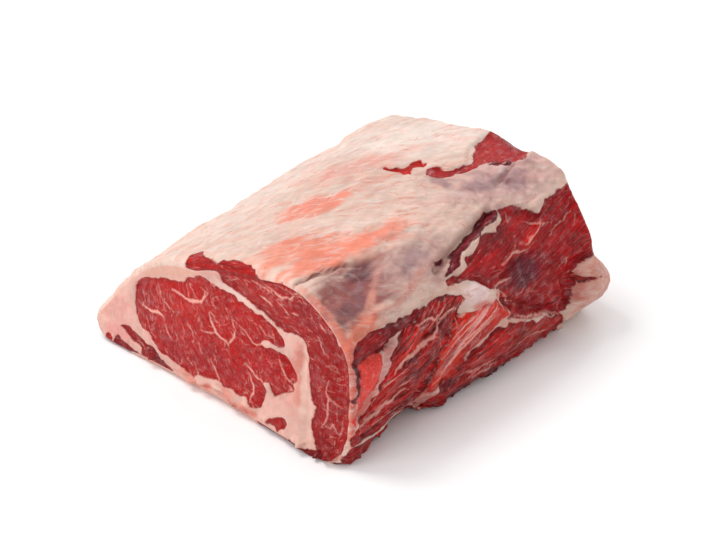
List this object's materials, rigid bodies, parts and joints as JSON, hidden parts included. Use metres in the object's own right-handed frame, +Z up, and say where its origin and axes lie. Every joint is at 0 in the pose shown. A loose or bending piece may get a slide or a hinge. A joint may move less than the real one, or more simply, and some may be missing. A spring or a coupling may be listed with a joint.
{
  "type": "beef rib roast",
  "caption": "Raw, boneless beef rib roast in one piece: marbled meat at the front cut, a fat cap over the crown, bare side muscles and a flat underside to rest on.",
  "frame": {"origin": "middle of the roast's width and length, on the ground plane it rests on", "axes": "+Z up, +Y from the front cut to the back cut, +X from the thin lip to the thick side where the backbone was"},
  "size_m": [0.2249, 0.2425, 0.1063],
  "materials": {
    "beef": null
  },
  "bodies": {
    "root": {"rib_roast": "beef"}
  },
  "joints": []
}
